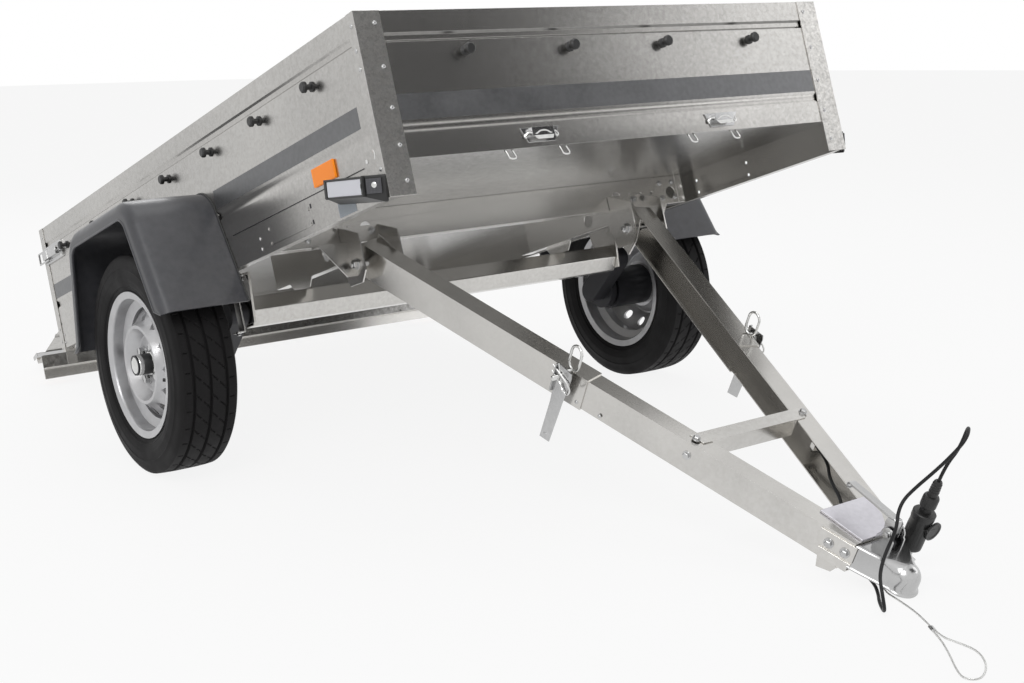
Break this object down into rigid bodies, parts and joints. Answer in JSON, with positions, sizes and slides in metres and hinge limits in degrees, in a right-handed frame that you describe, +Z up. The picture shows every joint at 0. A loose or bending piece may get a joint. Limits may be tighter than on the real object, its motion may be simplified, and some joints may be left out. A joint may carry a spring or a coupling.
{
  "type": "utility trailer",
  "caption": "Tipping utility trailer with a folded sheet-metal tub, torsion axle, folding V drawbar with ball coupling, drop tailgate, mudguards and lamps.",
  "frame": {"origin": "on the ground under the middle of the trailer's length and width, as it stands on its wheels and coupling head", "axes": "-Y towards the coupling, +Y towards the tailgate, +X to the image's right, +Z up"},
  "size_m": [1.76, 3.334, 1.1189],
  "materials": {
    "amber": "reflector",
    "black_plastic": "satin",
    "black_steel": "black, satin",
    "cable": "satin",
    "clear_lens": "lamp lens",
    "galvanised": "spangled zinc",
    "guard": "fine grain",
    "red_lens": "lamp lens",
    "rim": "silver paint, satin",
    "steel_rope": "stranded",
    "tyre": "matte",
    "zinc": "bright zinc plate"
  },
  "bodies": {
    "drawbar": {"arm_end_plates": "galvanised", "cable_ferrule": "zinc", "coupling_head": "zinc", "drawbar_arm_left": "galvanised", "drawbar_arm_right": "galvanised", "drawbar_crosspiece": "galvanised", "drawbar_gusset": "galvanised", "fold_bolts": "zinc", "head_foot": "galvanised", "light_cable": "cable", "locking_pins": "zinc", "locking_straps": "zinc", "plug": "black_plastic", "plug_flap": "black_plastic", "plug_holder": "zinc", "safety_cable": "steel_rope", "safety_loop": "steel_rope"},
    "bed": {"axle_beam": "galvanised", "axle_brackets": "galvanised", "corner_posts": "galvanised", "crossmember": "galvanised", "floor": "galvanised", "fold_brackets": "galvanised", "frame_rails": "galvanised", "front_catches": "zinc", "front_wall": "galvanised", "gate_latches": "zinc", "lamp_bar": "galvanised", "marker_lamps": "black_plastic", "marker_lenses": "clear_lens", "mudguard_left": "guard", "mudguard_right": "guard", "mudguard_stays": "galvanised", "rear_crossmember": "galvanised", "side_reflectors": "amber", "side_wall_left": "galvanised", "side_wall_right": "galvanised", "tail_lamps": "red_lens", "tailgate_hinges": "galvanised", "tarp_knobs": "black_plastic", "torsion_arms": "black_steel"},
    "coupling_handle": {"coupling_handle": "zinc"},
    "tailgate": {"gate_catches": "galvanised", "gate_knobs": "black_plastic", "tailgate": "galvanised"},
    "wheel_left": {"hub_left": "black_steel", "rim_left": "rim", "tyre_left": "tyre"},
    "wheel_right": {"hub_right": "black_steel", "rim_right": "rim", "tyre_right": "tyre"}
  },
  "joints": [
    {"name": "wheel_left_spin", "type": "hinge", "parent": "bed", "child": "wheel_left", "pos_m": [-0.7725, 0.19223, 0.2735], "axis": [1, 0, 0], "continuous": true},
    {"name": "wheel_right_spin", "type": "hinge", "parent": "bed", "child": "wheel_right", "pos_m": [0.7725, 0.19223, 0.2735], "axis": [1, 0, 0], "continuous": true},
    {"name": "drawbar_fold", "type": "hinge", "parent": "bed", "child": "drawbar", "pos_m": [0, -0.25468, 0.54106], "axis": [1, 0, 0], "range_deg": [-41, 6]},
    {"name": "tailgate_drop", "type": "hinge", "parent": "bed", "child": "tailgate", "pos_m": [0, 1.26626, 0.16916], "axis": [1, 0, 0], "range_deg": [-40, 104.25]},
    {"name": "coupling_handle_lift", "type": "hinge", "parent": "drawbar", "child": "coupling_handle", "pos_m": [0, -1.45713, 0.11559], "axis": [1, 0, 0], "range_deg": [0, 40]}
  ]
}
